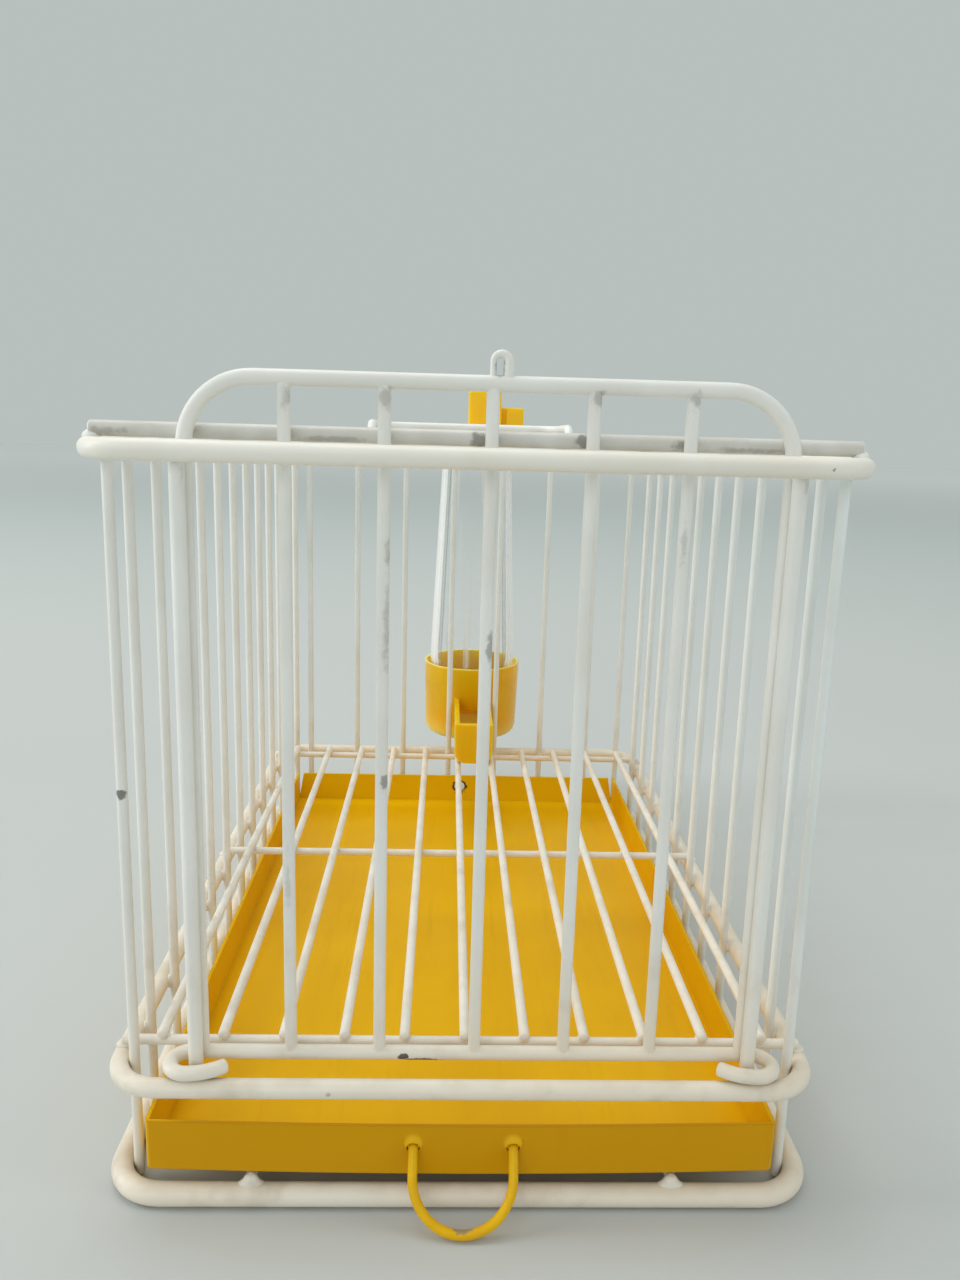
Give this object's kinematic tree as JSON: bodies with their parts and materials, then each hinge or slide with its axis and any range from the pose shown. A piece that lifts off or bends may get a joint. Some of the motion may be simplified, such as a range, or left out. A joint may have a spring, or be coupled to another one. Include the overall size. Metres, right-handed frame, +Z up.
{
  "type": "bird transport cage",
  "caption": "Small welded wire bird cage with a lift door, a wire floor over a sliding dropping tray, a tube drinker on the back wall and a folding carry handle.",
  "frame": {"origin": "on the ground, at the middle of the rings' plan", "axes": "+X to the right seen from the door, +Y from the door to the back, +Z up"},
  "size_m": [0.1516, 0.2756, 0.176],
  "materials": {
    "cage_paint": "old off-white paint over steel wire, yellowed and chipped at the welds",
    "tray_enamel": "deep yellow gloss paint on sheet steel, lightly scuffed",
    "cup_plastic": "amber yellow moulded plastic",
    "hanger_plastic": "bright yellow moulded plastic",
    "tube_plastic": "clear moulded plastic, slightly cloudy"
  },
  "bodies": {
    "cage": {"back_wire_1": "cage_paint", "back_wire_2": "cage_paint", "back_wire_3": "cage_paint", "back_wire_4": "cage_paint", "back_wire_5": "cage_paint", "back_wire_6": "cage_paint", "back_wire_7": "cage_paint", "base_ring": "cage_paint", "door_slot_bar": "cage_paint", "floor_cross_wire_back": "cage_paint", "floor_cross_wire_front": "cage_paint", "floor_cross_wire_middle": "cage_paint", "floor_wire_1": "cage_paint", "floor_wire_10": "cage_paint", "floor_wire_11": "cage_paint", "floor_wire_2": "cage_paint", "floor_wire_3": "cage_paint", "floor_wire_4": "cage_paint", "floor_wire_5": "cage_paint", "floor_wire_6": "cage_paint", "floor_wire_7": "cage_paint", "floor_wire_8": "cage_paint", "floor_wire_9": "cage_paint", "guide_post_left": "cage_paint", "guide_post_right": "cage_paint", "roof_cross_wire_back": "cage_paint", "roof_cross_wire_front": "cage_paint", "roof_cross_wire_middle": "cage_paint", "roof_wire_1": "cage_paint", "roof_wire_2": "cage_paint", "roof_wire_3": "cage_paint", "roof_wire_4": "cage_paint", "roof_wire_5": "cage_paint", "roof_wire_6": "cage_paint", "roof_wire_7": "cage_paint", "side_wires_left": "cage_paint", "side_wires_right": "cage_paint", "top_ring": "cage_paint", "tray_runner_left": "cage_paint", "tray_runner_right": "cage_paint", "waist_ring": "cage_paint"},
    "door": {"door_arch": "cage_paint", "door_bottom_rail": "cage_paint", "door_eye": "cage_paint", "door_bar_1": "cage_paint", "door_bar_2": "cage_paint", "door_bar_3": "cage_paint", "door_bar_4": "cage_paint", "door_bar_5": "cage_paint"},
    "tray": {"tray_pan": "tray_enamel"},
    "tray_pull": {"tray_pull": "tray_enamel"},
    "drinker_base": {"drinker_cup": "cup_plastic"},
    "drinker_bottle": {"drinker_tube": "tube_plastic", "drinker_hanger": "hanger_plastic"},
    "handle": {"carry_handle": "cage_paint"}
  },
  "joints": [
    {"name": "door_slide", "type": "slide", "parent": "cage", "child": "door", "axis": [0, 0, 1], "range_m": [0, 0.12]},
    {"name": "tray_slide", "type": "slide", "parent": "cage", "child": "tray", "axis": [0, -1, 0], "range_m": [0, 0.2]},
    {"name": "pull_swing", "type": "hinge", "parent": "tray", "child": "tray_pull", "pos_m": [0, -0.11072, 0.01189], "axis": [-1, 0, 0], "range_deg": [0, 60]},
    {"name": "drinker_lift", "type": "slide", "parent": "cage", "child": "drinker_base", "axis": [0, 0, 1], "range_m": [0, 0.015]},
    {"name": "bottle_lift", "type": "slide", "parent": "drinker_base", "child": "drinker_bottle", "axis": [0, 0, 1], "range_m": [0, 0.03]},
    {"name": "handle_swing", "type": "hinge", "parent": "cage", "child": "handle", "pos_m": [0, -0.0013, 0.1559], "axis": [1, 0, 0], "range_deg": [0, 165]}
  ]
}
